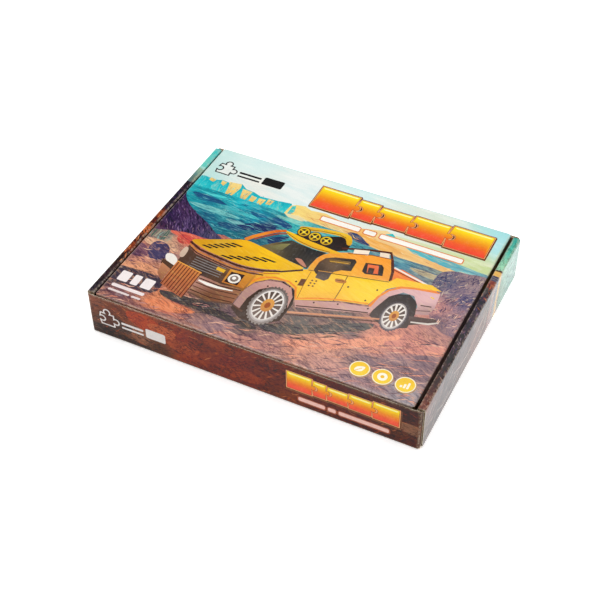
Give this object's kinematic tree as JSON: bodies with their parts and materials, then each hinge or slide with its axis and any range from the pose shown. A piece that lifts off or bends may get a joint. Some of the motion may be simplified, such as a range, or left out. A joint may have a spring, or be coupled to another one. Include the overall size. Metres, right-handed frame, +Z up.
{
  "type": "boxed wooden construction puzzle",
  "caption": "Flat printed mailer carton with a tuck-in hinged lid, holding laser-cut plywood puzzle sheets, a booklet and small supplies.",
  "frame": {"origin": "centre of the carton's underside, where it rests on a table", "axes": "+X along the carton's long side, to the right when facing the front wall; +Y from the front wall to the back wall, where the lid hinges; +Z up"},
  "size_m": [0.31, 0.23, 0.045],
  "materials": {
    "printed_board": "glossy laminated print, rocky ground and lake scene",
    "printed_lid": "glossy laminated print, a yellow pickup in a canyon",
    "inner_board": "uncoated kraft liner",
    "plywood": "birch plywood, laser cut with browned edges",
    "booklet_paper": "uncoated paper",
    "booklet_cover": "satin printed cover",
    "dowel_wood": "plain turned wood",
    "wax": "paraffin wax",
    "sandpaper": "fine abrasive grit on paper"
  },
  "bodies": {
    "carton": {"base_panel": "inner_board", "front_wall": "printed_board", "back_wall": "printed_board", "left_outer_wall": "printed_board", "left_top_strip": "printed_board", "left_inner_wall": "inner_board", "right_outer_wall": "printed_board", "right_top_strip": "printed_board", "right_inner_wall": "inner_board", "front_left_corner_tab": "printed_board", "front_right_corner_tab": "printed_board", "back_left_corner_tab": "printed_board", "back_right_corner_tab": "printed_board", "plywood_sheet_1": "plywood", "plywood_sheet_2": "plywood", "plywood_sheet_3": "plywood", "plywood_sheet_4": "plywood", "plywood_sheet_5": "plywood", "plywood_sheet_6": "plywood", "plywood_sheet_7": "plywood", "plywood_sheet_8": "plywood", "booklet_cover": "booklet_cover", "booklet_pages": "booklet_paper", "axle_dowel_1": "dowel_wood", "axle_dowel_2": "dowel_wood", "axle_dowel_3": "dowel_wood", "axle_dowel_4": "dowel_wood", "wax_block": "wax", "sandpaper": "sandpaper"},
    "lid": {"lid_panel": "printed_lid"},
    "tuck_flap": {"tuck_flap": "printed_lid"},
    "left_ear": {"left_ear": "printed_lid"},
    "right_ear": {"right_ear": "printed_lid"}
  },
  "joints": [
    {"name": "lid_hinge", "type": "hinge", "parent": "carton", "child": "lid", "pos_m": [0, 0.11425, 0.04425], "axis": [-1, 0, 0], "range_deg": [0, 190]},
    {"name": "tuck_flap_crease", "type": "hinge", "parent": "lid", "child": "tuck_flap", "pos_m": [0, -0.11185, 0.04425], "axis": [-1, 0, 0], "range_deg": [0, 15.5]},
    {"name": "left_ear_crease", "type": "hinge", "parent": "lid", "child": "left_ear", "pos_m": [-0.14625, -0.028, 0.04425], "axis": [0, 1, 0], "range_deg": [0, 15.5]},
    {"name": "right_ear_crease", "type": "hinge", "parent": "lid", "child": "right_ear", "pos_m": [0.14465, -0.028, 0.04425], "axis": [0, -1, 0], "range_deg": [0, 15.5]}
  ],
  "couplings": [
    {"joint": "tuck_flap_crease", "follows": "lid_hinge", "ratio": 0.08},
    {"joint": "left_ear_crease", "follows": "lid_hinge", "ratio": 0.08},
    {"joint": "right_ear_crease", "follows": "lid_hinge", "ratio": 0.08}
  ]
}
